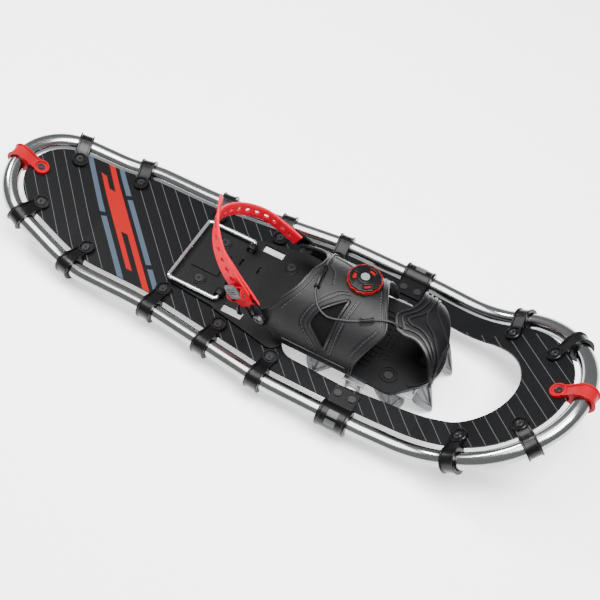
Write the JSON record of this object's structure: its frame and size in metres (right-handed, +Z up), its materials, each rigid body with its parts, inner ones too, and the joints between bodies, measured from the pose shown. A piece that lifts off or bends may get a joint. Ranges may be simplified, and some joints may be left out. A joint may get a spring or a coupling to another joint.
{
  "type": "snowshoe",
  "caption": "Aluminium-tube snowshoe with turned-up ends, clipped solid deck, pivoting dial-laced foot harness, ladder heel strap, wire heel lift and toothed crampons",
  "frame": {"origin": "middle of the bounding box seen from above, at the level of the tips of the crampon teeth", "axes": "+Y points to the toe end, +Z up away from the snow, +X to the buckle side of the binding (the near side in the picture)"},
  "size_m": [0.213, 0.6412, 0.1561],
  "materials": {
    "tube_aluminium": "satin polished",
    "deck_sheet": "fine grained coated sheet with pale diagonal lines",
    "black_moulding": "satin moulded",
    "red_moulding": "satin moulded",
    "dark_steel": "dark plated",
    "bright_steel": "stamped, zinc plated",
    "wire_chrome": "polished wire",
    "bush_plastic": "natural nylon",
    "heel_plastic": "matte moulded",
    "harness_leather": "semi-matte synthetic leather",
    "lace_cord": "fine braided",
    "strap_rubber": "smooth polyurethane",
    "grey_plastic": "satin moulded",
    "dial_ring_red": "translucent gloss"
  },
  "bodies": {
    "frame": {"frame_tube": "tube_aluminium", "splice_sleeve": "tube_aluminium", "deck": "deck_sheet", "tail_clip": "red_moulding", "toe_clip": "red_moulding", "clip_right_1": "black_moulding", "clip_right_2": "black_moulding", "clip_right_3": "black_moulding", "clip_right_4": "black_moulding", "clip_right_5": "black_moulding", "clip_right_6": "black_moulding", "clip_right_7": "black_moulding", "clip_left_1": "black_moulding", "clip_left_2": "black_moulding", "clip_left_3": "black_moulding", "clip_left_4": "black_moulding", "clip_left_5": "black_moulding", "clip_left_6": "black_moulding", "clip_left_7": "black_moulding", "clip_rivets": "dark_steel", "clip_washers": "dark_steel", "pivot_clamp_right": "black_moulding", "pivot_clamp_left": "black_moulding", "clamp_rivets": "dark_steel", "pivot_axle": "bright_steel", "pivot_bushes": "bush_plastic", "heel_plate": "heel_plastic", "heel_crampon": "bright_steel", "heel_bolts": "dark_steel", "heel_nuts": "bright_steel"},
    "bail": {"heel_bail": "wire_chrome"},
    "binding": {"toe_crampon": "bright_steel", "foot_plate": "heel_plastic", "foot_plate_rivets": "dark_steel", "harness_wrap": "harness_leather", "toe_cup": "heel_plastic", "toe_cup_rivets": "dark_steel", "lace": "lace_cord", "lace_guides": "black_moulding", "dial_base": "black_moulding", "anchor_eyelets": "bright_steel"},
    "strap": {"strap_tabs": "black_moulding", "heel_strap": "strap_rubber", "strap_end": "strap_rubber", "tab_rivets": "dark_steel", "buckle_base": "red_moulding", "buckle_pin": "bright_steel"},
    "lever": {"buckle_lever": "grey_plastic"},
    "dial_lift": {"dial_shaft": "bright_steel"},
    "dial": {"dial_knob": "black_moulding", "dial_grip_ring": "dial_ring_red", "dial_hub": "bright_steel"},
    "spool": {"dial_spool": "bright_steel"}
  },
  "joints": [
    {"name": "binding_pivot", "type": "hinge", "parent": "frame", "child": "binding", "pos_m": [0, 0.11, 0.021], "axis": [-1, 0, 0], "range_deg": [0, 75]},
    {"name": "bail_hinge", "type": "hinge", "parent": "frame", "child": "bail", "pos_m": [0, -0.05, 0.0374], "axis": [-1, 0, 0], "range_deg": [0, 100]},
    {"name": "strap_swing", "type": "hinge", "parent": "binding", "child": "strap", "pos_m": [0, 0.004, 0.057], "axis": [-1, 0, 0], "range_deg": [0, 20]},
    {"name": "buckle_lever_hinge", "type": "hinge", "parent": "strap", "child": "lever", "pos_m": [0.0589, -0.01722, 0.08731], "axis": [0, 0.8191, 0.5736], "range_deg": [0, 80]},
    {"name": "dial_lift_slide", "type": "slide", "parent": "binding", "child": "dial_lift", "axis": [0, 0, 1], "range_m": [0, 0.003]},
    {"name": "dial_spin", "type": "hinge", "parent": "dial_lift", "child": "dial", "pos_m": [-0.013, 0.08, 0.098], "axis": [0, 0, 1], "continuous": true},
    {"name": "spool_spin", "type": "hinge", "parent": "binding", "child": "spool", "pos_m": [-0.013, 0.08, 0.091], "axis": [0, 0, 1], "continuous": true}
  ],
  "couplings": [
    {"joint": "strap_swing", "follows": "bail_hinge", "ratio": 0.2},
    {"joint": "spool_spin", "follows": "dial_spin", "ratio": 1}
  ]
}
